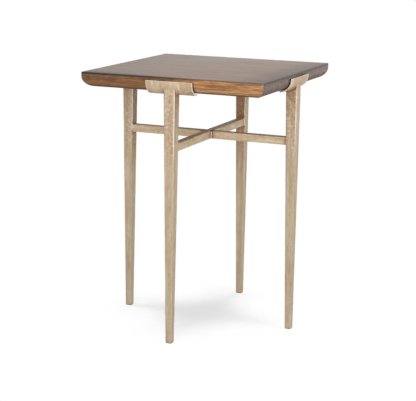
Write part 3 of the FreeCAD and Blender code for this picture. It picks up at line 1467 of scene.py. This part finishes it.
@dataclass(frozen=True)
class StainedWood:
    """Brown stained hardwood: long grain along X, dark stain on the top and the end grain.

    A fade gives the two places on an axis between which something changes.
    """

    rim_light: Colour = srgb(196, 146, 96)
    rim_dark: Colour = srgb(128, 83, 47)
    heart: Colour = (0.44, 0.39, 0.3)
    top_light: Colour = srgb(131, 99, 71)
    top_dark: Colour = srgb(62, 45, 33)
    # Grey film on the top that also stands in for grey sheen.
    top_film: Colour = srgb(88, 92, 84)
    under_light: Colour = srgb(112, 83, 59)
    under_dark: Colour = srgb(78, 57, 41)
    end_light: Colour = srgb(140, 108, 84)
    end_dark: Colour = srgb(62, 47, 38)
    # Painted grey sheen on the end grain.
    end_grey: Colour = srgb(98, 93, 89)
    # Dark colour for stains and for painted shade and shadow on the wood.
    burnt: Colour = srgb(38, 32, 28)
    pore: Colour = srgb(96, 60, 36)
    grain: Grain = Grain((20.0, 360.0, 360.0), 6 * MM)
    flecks: Grain = Grain((32.0, 400.0, 400.0), 12 * MM)
    top_bands: Grain = Grain((6.0, 90.0, 90.0), 20 * MM)
    pore_lay: tuple[float, float, float] = (85.0, 800.0, 800.0)
    ring_lay: tuple[float, float, float] = (2.4, 11.0, 11.0)
    ring_sway: float = 20 * MM
    ring_spacing: float = 5.5 * MM
    ring_middle: float = 535 * MM
    board_width: float = 114 * MM
    board_shift: float = 30 * MM
    film_clouds: Cloud = Cloud(22.0, 0.62)
    film_fade: Span = (-200 * MM, 100 * MM)
    # Depth and fade of the painted shade along the top's front edge.
    front_stain: float = 50 * MM
    front_fade: Span = (-160 * MM, 60 * MM)
    end_blots: Cloud = Cloud(130.0, 0.55)
    end_clouds: Cloud = Cloud(75.0, 0.75)
    end_fade: Span = (-200 * MM, 120 * MM)
    heart_sway: float = 80 * MM
    heart_fade: Span = (5 * MM, 55 * MM)
    ragged_reach: float = 2.4 * MM
    arris_widths: Span = (6.4 * MM, 4 * MM)
    # How far from the right edge the top and upper rim grow darker.
    smoked_reach: float = 100 * MM
    polish: float = 0.31
    relief: float = 0.12 * MM

    def material(self, effects: SharedEffects) -> bpy.types.Material:
        """Builds the material.

        Args:
            effects: The shared effects.

        Returns:
            The material.
        """
        material, board, shader = new_material("stained_wood")
        place = board.place()
        grain = effects.grain(board, place, self.grain)
        flecks = effects.grain(board, place, self.flecks)
        fibres = grain["Fine"]
        pores = self._pores(board, place)
        tone = board.sum(
            board.product(self._rings(board, place), 0.12), board.product(flecks["Fine"], 0.33),
            board.product(fibres, 0.3), board.product(grain["Broad"], 0.25))
        tone = board.between(tone, 0.2, 0.8)
        is_top, is_under, is_end = self._faces(board)
        colour = board.blend(tone, self.rim_dark, self.rim_light)
        colour = board.blend(self._heart(board, place), colour, self.heart, "MULTIPLY")
        for mask, shown in (
            (is_end, self._end_grain(board, place, tone, effects)),
            (is_top, self._upper_face(board, place, tone, effects)),
            (is_under, board.blend(tone, self.under_dark, self.under_light)),
            (board.product(pores, 0.6), self.pore),
            # Dark stain, painted shade on the rim's foot and painted shadow behind the brackets.
            (self._burnt_edges(board, place), self.burnt),
        ):
            colour = board.blend(mask, colour, shown)
        roughness = board.sum(board.product(fibres, 0.06), self._roughness(board, place))
        height = board.less(board.product(fibres, 0.4), board.product(pores, 0.6))
        board.surface(shader, colour, roughness, height, self.relief)
        shader.inputs["IOR"].default_value = 1.5
        shader.inputs["Specular IOR Level"].default_value = 0.4
        return material

    def _faces(self, board: ShaderBoard) -> tuple[Socket, Socket, Socket]:
        """Masks of the upper face, the underside and the end grain, from the way they face.

        Args:
            board: The material's board.

        Returns:
            The three masks.
        """
        facing = board.split(board.normal())
        is_top = board.between(facing["Z"], 0.55, 0.8)
        is_under = board.between(facing["Z"], -0.99, -0.85, 1.0, 0.0)
        lead = board.less(board.size(facing["X"]), board.size(facing["Y"]))
        return is_top, is_under, board.between(lead, -0.1, 0.1)

    def _rings(self, board: ShaderBoard, place: Socket) -> Socket:
        """Growth rings, round a middle line of its own in each glued board.

        Args:
            board: The material's board.
            place: Its coordinates.

        Returns:
            The rings, 1 on their light side and 0 on the dark.
        """
        parts = board.split(place)
        index = board.math("FLOOR", board.math("DIVIDE", parts["Y"], self.board_width))
        shift = board.product(board.math("SINE", board.product(index, 12.9)), self.board_shift)
        across = board.less(
            board.sum(parts["Y"], shift), board.product(index, self.board_width))
        depth = board.less(parts["Z"], self.ring_middle)
        radius = board.math("SQRT", board.sum(
            board.math("POWER", across, 2.0), board.math("POWER", depth, 2.0)))
        radius = board.sum(
            radius, board.sway(board.stretched(place, self.ring_lay), 1.0, 2.0, self.ring_sway))
        phase = board.math("FRACT", board.math("DIVIDE", radius, self.ring_spacing))
        return board.between(phase, 0.0, 0.85, 1.0, 0.0)

    def _pores(self, board: ShaderBoard, place: Socket) -> Socket:
        """Short open pores along the grain."""
        return board.between(
            board.noise(board.stretched(place, self.pore_lay), 1.0, 2.0), 0.58, 0.72)

    def _heart(self, board: ShaderBoard, place: Socket) -> Socket:
        """Darker heartwood, which gives way to lighter wood towards the right."""
        across = board.sum(board.split(place)["X"], board.sway(place, 14.0, 3.0, self.heart_sway))
        return board.between(across, *self.heart_fade, 1.0, 0.0)

    def _upper_face(self, board: ShaderBoard, place: Socket, tone: Socket,
                    effects: SharedEffects) -> Socket:
        """Brown stain under a grey film and painted grey sheen that thin out to the right, with
        painted shade along the front edge.

        Args:
            board: The material's board.
            place: Its coordinates.
            tone: How light the wood is, from 0 to 1.
            effects: The shared effects.

        Returns:
            The upper face's colour.
        """
        bands = effects.grain(board, place, self.top_bands)["Fine"]
        tone = board.sum(board.product(tone, 0.4), board.product(bands, 0.6))
        colour = board.blend(tone, self.top_dark, self.top_light)
        parts = board.split(place)
        # Grey film and painted grey sheen, thinning out to the right.
        film = board.product(
            board.sum(effects.clouds(board, place, self.film_clouds), 1.0),
            board.between(parts["X"], *self.film_fade, 0.2, 0.02))
        colour = board.blend(film, colour, self.top_film)
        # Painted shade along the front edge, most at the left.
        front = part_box("table_top")[0].y
        edge = board.product(
            board.between(parts["Y"], front, front + self.front_stain, 0.9, 0.0),
            board.between(parts["X"], *self.front_fade, 1.0, 0.15))
        return board.blend(edge, colour, self.burnt)

    def _end_grain(self, board: ShaderBoard, place: Socket, tone: Socket,
                   effects: SharedEffects) -> Socket:
        """Dark end grain, clouded with painted grey sheen towards the front.

        Args:
            board: The material's board.
            place: Its coordinates.
            tone: How light the wood is, from 0 to 1.
            effects: The shared effects.

        Returns:
            The end grain's colour.
        """
        colour = board.blend(tone, self.end_dark, self.end_light)
        blots = effects.clouds(board, place, self.end_blots)
        colour = board.blend(board.product(blots, 0.3), colour, self.burnt)
        # Painted grey sheen in clouds, strongest towards the front.
        clouds = effects.clouds(board, place, self.end_clouds)
        share = board.between(board.split(place)["Y"], *self.end_fade, 0.7, 0.3)
        return board.blend(board.product(clouds, share), colour, self.end_grey)

    def _roughness(self, board: ShaderBoard, place: Socket) -> Socket:
        """Roughness of the clear coat, smoothest on top in the middle and at the back.

        Args:
            board: The material's board.
            place: Its coordinates.

        Returns:
            The roughness over the surface.
        """
        parts = board.split(place)
        side = board.between(board.size(parts["X"]), 0.08, 0.22, 0.0, 0.04)
        back = board.between(parts["Y"], -0.12, 0.2, 0.0, 0.05)
        dull = board.between(board.split(board.normal())["Z"], -0.8, -0.1, 0.4, 0.0)
        cloud = board.product(board.noise(place, 12.0, 2.0), 0.06)
        return board.sum(self.polish, board.less(side, back), dull, cloud)

    def _burnt_edges(self, board: ShaderBoard, place: Socket) -> Socket:
        """Dark stain on the upper arris, stain and painted shade on the rim's foot, painted shadow
        behind the brackets, and a darker band near the top at the right.

        Args:
            board: The material's board.
            place: Its coordinates.

        Returns:
            The mask of the dark stain and painted shade.
        """
        low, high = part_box("table_top")
        parts = board.split(place)
        inward = board.less(
            high.x, board.greatest(board.size(parts["X"]), board.size(parts["Y"])))
        down = board.less(high.z, parts["Z"])
        ragged = board.product(board.noise(place, 120.0), self.ragged_reach)
        width = board.between(parts["X"], low.x, 0.14, *self.arris_widths)
        arris = board.between(
            board.math("DIVIDE", board.sum(inward, down, ragged), width), 0.7, 1.2, 1.0, 0.0)
        strength = board.between(parts["X"], low.x, 0.12, 0.97, 0.72)
        # Darker towards the right edge, on the top and the upper rim.
        to_right = board.sum(board.less(high.x, parts["X"]), ragged)
        smoked = board.product(
            board.between(to_right, 0.0, self.smoked_reach, 0.58, 0.0),
            board.between(down, 3 * MM, 8 * MM, 1.0, 0.0))
        # The rim's foot: dark stain plus painted shade where it faces down.
        foot = board.between(
            board.sum(parts["Z"], ragged), low.z + 2.5 * MM, low.z + 9 * MM, 0.85, 0.0)
        on_rim = board.between(inward, 17 * MM, 25 * MM, 1.0, 0.0)
        below = board.product(board.greatest(foot, self._beside(board, parts)), on_rim)
        return board.greatest(board.product(arris, strength), below, smoked)

    def _beside(self, board: ShaderBoard, parts: Sockets) -> Socket:
        """Painted shadow on the wood behind the brackets and a little beside them, higher at the
        right.

        Args:
            board: The material's board.
            parts: X, Y and Z of its coordinates.

        Returns:
            The painted shadow's mask.
        """
        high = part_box("saddle_right")[1]
        along = board.math("MINIMUM", board.size(parts["X"]), board.size(parts["Y"]))
        reach = board.between(
            parts["Z"], high.z - 24 * MM, high.z - 8 * MM, high.y + 11 * MM, high.y + 3.5 * MM)
        # Painted shadow behind the brackets, fading out beside them.
        behind = board.between(along, high.y - 1 * MM, reach, 0.92, 0.0)
        at_right = board.between(parts["X"], high.x - 20 * MM, high.x - 10 * MM)
        far_half = board.between(parts["Y"], -25 * MM, 0.0)
        level = board.less(parts["Z"], board.product(at_right, far_half, 5 * MM))
        lower = board.between(level, high.z - 2 * MM, high.z + 1.5 * MM, 1.0, 0.0)
        return board.product(behind, lower)


@dataclass(frozen=True)
class ChampagneLeaf:
    """Worn champagne metal leaf, brushed out and toned with a brown glaze.

    A fade gives the two heights between which something changes.
    """

    light: Colour = srgb(219, 203, 174)
    tan: Colour = srgb(177, 152, 119)
    sage: Colour = srgb(178, 168, 139)
    rose: Colour = srgb(192, 154, 128)
    cream: Colour = srgb(226, 214, 188)
    # Colour of rubbed edges, which also serves as their painted highlight.
    rubbed: Colour = srgb(244, 237, 224)
    # Brown glaze: the leaf's glaze streaks and spots, and the colour of the painted shade in nooks,
    # under the top and on ledges.
    glaze: Colour = srgb(144, 84, 40)
    grey_glaze: Colour = srgb(138, 112, 92)
    thick_glaze: Colour = srgb(74, 46, 30)
    sage_patches: Cloud = Cloud(60.0, 0.72)
    rose_patches: Cloud = Cloud(120.0, 0.6)
    glaze_streaks: Cloud = Cloud(280.0, 0.46)
    cream_spots: Cloud = Cloud(170.0, 0.58)
    glaze_spots: Cloud = Cloud(230.0, 0.4)
    tint_fade: Span = (250 * MM, 600 * MM)
    spot_fade: Span = (380 * MM, 500 * MM)
    brush_bend: float = 3 * MM
    worn_breaks: float = 70.0
    # Strength of the painted shade on faces that look up.
    ledge_glaze: float = 0.55
    # Strength of the rubbed edges with their painted highlight; one_sided keeps that share of it to
    # edges that look to the front right.
    rubbing: float = 0.9
    one_sided: float = 0.0
    mottle: float = 0.26
    metallic: float = 0.25
    relief: float = 0.12 * MM

    def material(self, lay: Lay, effects: SharedEffects) -> bpy.types.Material:
        """Builds the material for one direction of brushing.

        Args:
            lay: The direction.
            effects: The shared effects.

        Returns:
            The material.
        """
        material, board, shader = new_material("leafed_metal_" + lay.name.lower())
        place = board.place()
        brushed = effects.grain(board, place, Grain(lay.value, self.brush_bend))
        colour = board.blend(brushed["Broad"], self.tan, self.light)
        colour, spots = self._mottled(board, place, lay, colour, effects)
        colour = board.blend(board.between(brushed["Fine"], 0.0, 1.0, 0.5, 0.0), colour, self.tan)
        colour = self._glazed(board, place, colour, effects)
        # Rubbed edges: wear plus a painted highlight, strongest where edges look to the front
        # right.
        worn = board.group(
            effects.rubbed_edge,
            {"Coordinates": place, "Edge": board.mark(WORN), "Breaks": self.worn_breaks,
             "Amount": self.rubbing, "One Sided": self.one_sided})["Mask"]
        colour = board.blend(worn, colour, self.rubbed)
        roughness = board.less(
            board.between(brushed["Fine"], 0.0, 1.0, 0.58, 0.46), board.product(worn, 0.12))
        height = board.less(board.product(brushed["Fine"], 0.5), board.product(spots, 0.5))
        board.surface(shader, colour, roughness, height, self.relief)
        shader.inputs["Metallic"].default_value = self.metallic
        shader.inputs["Specular IOR Level"].default_value = 0.3
        return material

    def _mottled(self, board: ShaderBoard, place: Socket, lay: Lay, colour: Socket,
                 effects: SharedEffects) -> tuple[Socket, Socket]:
        """The leaf with its tints and spots, and the mask of the spots worn into it.

        Args:
            board: The material's board.
            place: Its coordinates.
            lay: The direction of brushing.
            colour: Colour of the brushed leaf.
            effects: The shared effects.

        Returns:
            The leaf's colour, and the spots' mask.
        """
        height = board.split(place)["Z"]
        drawn = board.stretched(place, lay.drawn_out)
        more_low = board.between(height, *self.tint_fade, 0.7, 0.4)
        more_high = board.between(height, *self.tint_fade, 0.3, 0.62)
        mottle = board.between(height, *self.spot_fade, 0.25 * self.mottle, self.mottle)
        spots = effects.clouds(board, place, self.glaze_spots)
        for tint, mask, share in (
            (self.sage, effects.clouds(board, drawn, self.sage_patches), more_low),
            (self.rose, effects.clouds(board, place, self.rose_patches), more_high),
            (self.glaze, effects.clouds(board, drawn, self.glaze_streaks), 0.34),
            (self.cream, effects.clouds(board, place, self.cream_spots),
             board.product(mottle, 1.1)),
            (self.glaze, spots, board.product(mottle, 0.9)),
        ):
            colour = board.blend(board.product(mask, share), colour, tint)
        return colour, spots

    def _glazed(self, board: ShaderBoard, place: Socket, colour: Socket,
                effects: SharedEffects) -> Socket:
        """The leaf under its glaze and painted shade, which is greyer high up on inner faces at the
        left.

        Args:
            board: The material's board.
            place: Its coordinates.
            colour: Colour of the leaf.
            effects: The shared effects.

        Returns:
            The colour with glaze and painted shade.
        """
        settled = board.group(
            effects.settled_glaze,
            {"Coordinates": place, "Nook": board.mark(NOOK), "Ledge": self.ledge_glaze,
             "Shelter": board.mark(SHELTER)})
        parts = board.split(place)
        # The painted shade is greyer high up on inner faces at the left.
        greyed = board.product(
            board.between(board.dot(place, board.normal()), -0.17, -0.1, 1.0, 0.0),
            board.between(parts["X"], -0.2, -0.05, 0.7, 0.0),
            board.between(parts["Z"], 0.435, 0.47))
        glaze = board.blend(greyed, self.glaze, self.grey_glaze)
        # Glaze and painted shade in nooks, under the top and on ledges.
        colour = board.blend(board.product(settled["Mask"], 0.92), colour, glaze)
        return board.blend(board.product(settled["Thick"], 0.75), colour, self.thick_glaze)


@dataclass(frozen=True)
class HiddenFinish:
    """Finish of a small part under the slab or the legs: one colour, dulled in patches."""

    name: str
    colour: Colour
    dulled: Colour
    metallic: float
    roughness: float
    grain: float
    dull_patches: Cloud = Cloud(220.0, 0.7)
    roughness_reach: float = 0.08
    relief: float = 0.03 * MM

    def material(self, effects: SharedEffects) -> bpy.types.Material:
        """Builds the material.

        Args:
            effects: The shared effects.

        Returns:
            The material.
        """
        material, board, shader = new_material(self.name)
        place = board.place()
        dull = effects.clouds(board, place, self.dull_patches)
        lines = effects.grain(board, place, Grain((self.grain,) * 3, 0.0))["Fine"]
        colour = board.blend(dull, self.colour, self.dulled)
        roughness = board.between(
            lines, 0.0, 1.0, self.roughness - self.roughness_reach,
            self.roughness + self.roughness_reach)
        board.surface(shader, colour, roughness, lines, self.relief)
        shader.inputs["Metallic"].default_value = self.metallic
        return material


@dataclass(frozen=True)
class Hardware:
    """The small parts that keep their solids: screws, spacers and foot glides."""

    zinc: HiddenFinish = HiddenFinish(
        "zinc_plate", srgb(190, 190, 186), srgb(150, 149, 144), 1.0, 0.38, 700.0)
    rubber: HiddenFinish = HiddenFinish(
        "black_rubber", srgb(34, 34, 35), srgb(48, 47, 47), 0.0, 0.75, 1500.0)
    plastic: HiddenFinish = HiddenFinish(
        "dark_plastic", srgb(58, 48, 42), srgb(72, 62, 55), 0.0, 0.5, 1200.0)

    def dress(self, effects: SharedEffects) -> None:
        """Gives each solid its finish.

        Args:
            effects: The shared effects.
        """
        glides = ["foot_glide_" + side.word for side in Side]
        for finish, names in (
            (self.zinc, ["flange_screws"]),
            (self.rubber, ["flange_spacers"]),
            (self.plastic, glides),
        ):
            material = finish.material(effects)
            for name in names:
                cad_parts[name].material_slots[0].material = material
                log.info("%s: %s", name, finish.name)


@dataclass(frozen=True)
class MetalBase:
    """Brackets, legs, cross bars and the fillets of their welds."""

    bracket: Bracket = Bracket()
    leg: TaperedLeg = TaperedLeg()
    bars: CrossBars = CrossBars()
    head_fillet: WeldFillet = WeldFillet(1.8 * MM, seam_angle=math.radians(-35))
    bar_fillet: WeldFillet = WeldFillet(1.6 * MM)
    crossing_fillet: WeldFillet = WeldFillet(2.4 * MM)
    bars_handling: float = 0.2
    patina: Patina = Patina()
    leaf: ChampagneLeaf = ChampagneLeaf()
    # The legs keep most of their painted edge highlight to edges that look to the front right.
    leg_leaf: ChampagneLeaf = ChampagneLeaf(
        light=srgb(201, 187, 162), tan=srgb(166, 144, 116), rubbing=0.7, one_sided=0.85,
        mottle=0.5)
    bar_leaf: ChampagneLeaf = ChampagneLeaf(
        light=srgb(223, 206, 177), tan=srgb(187, 162, 129), rose=srgb(197, 164, 130))
    # The welds' leaf is rubbed hard, which paints a bright highlight along their crests.
    weld_leaf: ChampagneLeaf = ChampagneLeaf(
        light=srgb(223, 206, 177), tan=srgb(187, 162, 129), rubbing=2.4)

    def build(self, effects: SharedEffects) -> None:
        """Models and finishes every metal piece.

        Args:
            effects: The shared effects.
        """
        leaves = self._leaves(effects)
        bracket = self.bracket.build()
        leg = self.leg.build(self.bracket.outside())
        bars = {node: self.bars.build(node) for node in BAR_NODES}
        crossing = self._crossing_weld()
        head_weld = self._head_weld()
        bar_weld = self._bar_weld()
        self.patina.mark(leg, [bracket], [bars["cross_bar_right"]])
        self.patina.mark(
            bracket, [leg], rim_wear=self.bracket.rim_wear(), stain=self.bracket.corner_stain())
        self.patina.mark_weld(crossing, bars.values())
        self.patina.mark_weld(head_weld, [leg, bracket])
        self.patina.mark_weld(bar_weld, [leg, bars["cross_bar_right"]])
        self._finish_bars(bars, leg, leaves)
        crossing.finish(leaves[Lay.ON_WELDS], LEAF_SLOT)
        for side in Side:
            bend = Lay.ROUND_BEND_OF_X_SIDES
            if side in (Side.FRONT, Side.BACK):
                bend = Lay.ROUND_BEND_OF_Y_SIDES
            self._place(bracket, "bracket_", side, leaves[bend], "saddle_")
            self._place(leg, "tapered_leg_", side, leaves[Lay.UPRIGHT], "leg_")
            self._place(head_weld, "head_weld_", side, leaves[Lay.UPRIGHT])
            self._place(bar_weld, "bar_weld_", side, leaves[Lay.ON_WELDS])
        for master in (bracket, leg, head_weld, bar_weld):
            master.discard()

    def _leaves(self, effects: SharedEffects) -> dict[Lay, bpy.types.Material]:
        """The leaf's material for each direction of brushing.

        Args:
            effects: The shared effects.

        Returns:
            The materials by direction.
        """
        return {lay: leaf.material(lay, effects) for leaf, lays in (
            (self.leaf, (Lay.ROUND_BEND_OF_X_SIDES, Lay.ROUND_BEND_OF_Y_SIDES)),
            (self.leg_leaf, (Lay.UPRIGHT,)),
            (self.bar_leaf, (Lay.ALONG_X, Lay.ALONG_Y)),
            (self.weld_leaf, (Lay.ON_WELDS,)),
        ) for lay in lays}

    def _finish_bars(self, bars: dict[str, Workpiece], leg: Workpiece,
                     leaves: dict[Lay, bpy.types.Material]) -> None:
        """Marks and finishes the bars, with the leg turned to all sides for their nooks.

        Args:
            bars: The bars, by the solid that each stands for.
            leg: The right leg.
            leaves: The leaf's materials.
        """
        legs = [leg.copy_to("leg_reach_" + side.word, side.turn) for side in Side]
        for node, bar in bars.items():
            others = [other for name, other in bars.items() if name != node]
            self.patina.mark(
                bar, others, legs, stain=self.bars.end_stain(node), handling=self.bars_handling)
            lay = Lay.ALONG_Y if node == "cross_bar_through" else Lay.ALONG_X
            bar.obj.name = node.replace("cross_bar", "bar")
            bar.finish(leaves[lay], LEAF_SLOT, [node])
        for reach in legs:
            reach.discard()

    @staticmethod
    def _place(master: Workpiece, prefix: str, side: Side, material: bpy.types.Material,
               replaced: str = "") -> None:
        """Puts a turned copy on one side of the table."""
        piece = master.copy_to(prefix + side.word, side.turn)
        piece.finish(material, LEAF_SLOT, [replaced + side.word] if replaced else [])

    def _head_weld(self) -> Workpiece:
        """Fillet between the leg's head and the bracket, on the +X side."""
        return self.head_fillet.build(
            "head_weld", [self.leg.outline(), self.bracket.outside()])

    def _bar_weld(self) -> Workpiece:
        """Fillet round the bar's end on the leg, on the +X side."""
        return self.bar_fillet.build(
            "bar_weld", [self.leg.outline(), self.bars.outline("cross_bar_right")])

    def _crossing_weld(self) -> Workpiece:
        """Fillets in the four upright corners where the bars cross."""
        return self.crossing_fillet.build(
            "crossing_welds", [self.bars.outline(node) for node in BAR_NODES], upright=True)


@dataclass(frozen=True)
class Softbox:
    """A square area light: its place, the length of its side and its power."""

    place: tuple[float, float, float]
    side: float
    power: float

    def light(self, name: str, target: Vector) -> None:
        """Puts the light in the scene.

        Args:
            name: Its name.
            target: What it is aimed at.
        """
        light = bpy.data.lights.new(name, "AREA")
        light.shape = "SQUARE"
        light.size = self.side
        light.energy = self.power
        lamp = bpy.data.objects.new(name, light)
        lamp.location = self.place
        lamp.rotation_euler = (target - lamp.location).to_track_quat("-Z", "Y").to_euler()
        bpy.context.scene.collection.objects.link(lamp)


@dataclass(frozen=True)
class Studio:
    """Pale floor, soft light and the photograph's point of view."""

    floor_side: float = 14.0
    floor_colour: Colour = (0.963, 0.972, 0.985)
    floor_bounce: Colour = (0.7, 0.7, 0.7)
    floor_glow: float = 0.08
    shadow_middle: tuple[float, float, float] = (-0.04, 0.035, 0.0)
    shadow_fade: Span = (0.05, 0.28)
    light_target: tuple[float, float, float] = (0.0, 0.0, 0.35)
    key: Softbox = Softbox((0.7, -2.3, 1.05), 1.4, 26.0)
    fill: Softbox = Softbox((2.4, -0.5, 0.9), 1.2, 12.0)
    overhead_shift: tuple[float, float, float] = (0.05, -0.05, 0.0)
    overhead_reach: float = 0.74
    overhead_height: float = 2.6
    overhead_size: float = 0.28
    overhead_power: float = 9.5
    overhead_front_power: float = 5.0
    surround_light: float = 0.62
    surround_gloss: float = 0.85
    camera_place: tuple[float, float, float] = (1.1595, -2.6720, 0.9767)
    camera_azimuth: float = 23.466
    camera_elevation: float = 13.046
    camera_roll: float = 0.667
    focal_pixels: float = 1197.7
    picture_width: float = 416.0
    sensor_width: float = 36.0

    def build(self) -> None:
        """Sets up floor, light and camera."""
        scene = bpy.context.scene
        scene.view_settings.view_transform = "Standard"
        self._floor()
        self._surround(scene)
        self.key.light("key_softbox", Vector(self.light_target))
        self.fill.light("side_softbox", Vector(self.light_target))
        self._overhead()
        self._camera(scene)

    def _floor(self) -> None:
        """A plain pale floor, seen only from above, that turns white further out."""
        bpy.ops.object.select_all(action="DESELECT")
        bpy.ops.mesh.primitive_plane_add(size=self.floor_side, location=(0, 0, 0))
        floor = bpy.context.active_object
        floor.name = "studio_floor"
        material, board, shader = new_material("studio_floor")
        shader.inputs["Roughness"].default_value = 0.95
        shader.inputs["Specular IOR Level"].default_value = 0.0
        rays = board.add("ShaderNodeLightPath").outputs
        seen = rays["Is Camera Ray"]
        board.feed(
            shader.inputs["Base Color"],
            board.blend(seen, self.floor_bounce, self.floor_colour))
        shader.inputs["Emission Color"].default_value = WHITE
        board.feed(shader.inputs["Emission Strength"], board.product(seen, self.floor_glow))
        reach = board.add(
            "ShaderNodeVectorMath", {0: board.place(), 1: self.shadow_middle},
            operation="DISTANCE").outputs["Value"]
        distance = board.between(reach, *self.shadow_fade)
        share = board.product(distance, board.greatest(seen, rays["Is Glossy Ray"]))
        white = board.add("ShaderNodeEmission", {"Color": WHITE, "Strength": 1.0})
        mixed = board.add(
            "ShaderNodeMixShader",
            {0: share, 1: shader.outputs[0], 2: white.outputs[0]}).outputs[0]
        below = board.add("ShaderNodeNewGeometry").outputs["Backfacing"]
        clear = board.add("ShaderNodeBsdfTransparent").outputs[0]
        one_way = board.add("ShaderNodeMixShader", {0: below, 1: mixed, 2: clear}).outputs[0]
        board.feed(board.tree.nodes["Material Output"].inputs["Surface"], one_way)
        floor.data.materials.append(material)

    def _surround(self, scene: bpy.types.Scene) -> None:
        """White all round for the camera, a little less for gloss, and a softer level of light.

        Args:
            scene: The scene.
        """
        world = bpy.data.worlds.new("studio")
        world.use_nodes = True
        scene.world = world
        board = ShaderBoard(world.node_tree)
        background = world.node_tree.nodes["Background"]
        rays = board.add("ShaderNodeLightPath").outputs
        gloss = board.greatest(rays["Is Glossy Ray"], rays["Is Transmission Ray"])
        level = board.sum(
            board.product(gloss, self.surround_gloss - self.surround_light), self.surround_light)
        background.inputs["Color"].default_value = WHITE
        board.feed(background.inputs["Strength"], board.greatest(level, rays["Is Camera Ray"]))

    def _overhead(self) -> None:
        """Four small softboxes above the sides, which lead each leg's shadow to the middle."""
        for side in Side:
            place = side.turn @ Vector((self.overhead_reach, 0, self.overhead_height))
            place += Vector(self.overhead_shift)
            power = self.overhead_front_power if side is Side.FRONT else self.overhead_power
            Softbox(tuple(place), self.overhead_size, power).light(
                "overhead_softbox_" + side.word, Vector(self.light_target))

    def _camera(self, scene: bpy.types.Scene) -> None:
        """The camera that was fitted to the photograph.

        Args:
            scene: The scene.
        """
        data = bpy.data.cameras.new("photo_view")
        data.sensor_width = self.sensor_width
        data.lens = self.sensor_width * self.focal_pixels / self.picture_width
        azimuth = math.radians(self.camera_azimuth)
        elevation = math.radians(self.camera_elevation)
        back = Vector((
            math.sin(azimuth) * math.cos(elevation),
            -math.cos(azimuth) * math.cos(elevation),
            math.sin(elevation)))
        right = (-back).cross(Vector((0, 0, 1))).normalized()
        up = right.cross(-back)
        level = Matrix((right, up, back)).transposed().to_4x4()
        camera = bpy.data.objects.new("photo_view", data)
        camera.matrix_world = (
            Matrix.Translation(Vector(self.camera_place)) @ level
            @ Matrix.Rotation(math.radians(self.camera_roll), 4, "Z"))
        scene.collection.objects.link(camera)
        scene.camera = camera


def main() -> None:
    """Builds the table piece by piece, then the studio round it."""
    effects = SharedEffects()
    slab = WoodSlab().build()
    slab.finish(StainedWood().material(effects), WOOD_SLOT, ["table_top"])
    MetalBase().build(effects)
    Hardware().dress(effects)
    Studio().build()


if __name__ == "__main__":
    logging.basicConfig(level=logging.INFO, format="%(message)s")
    main()
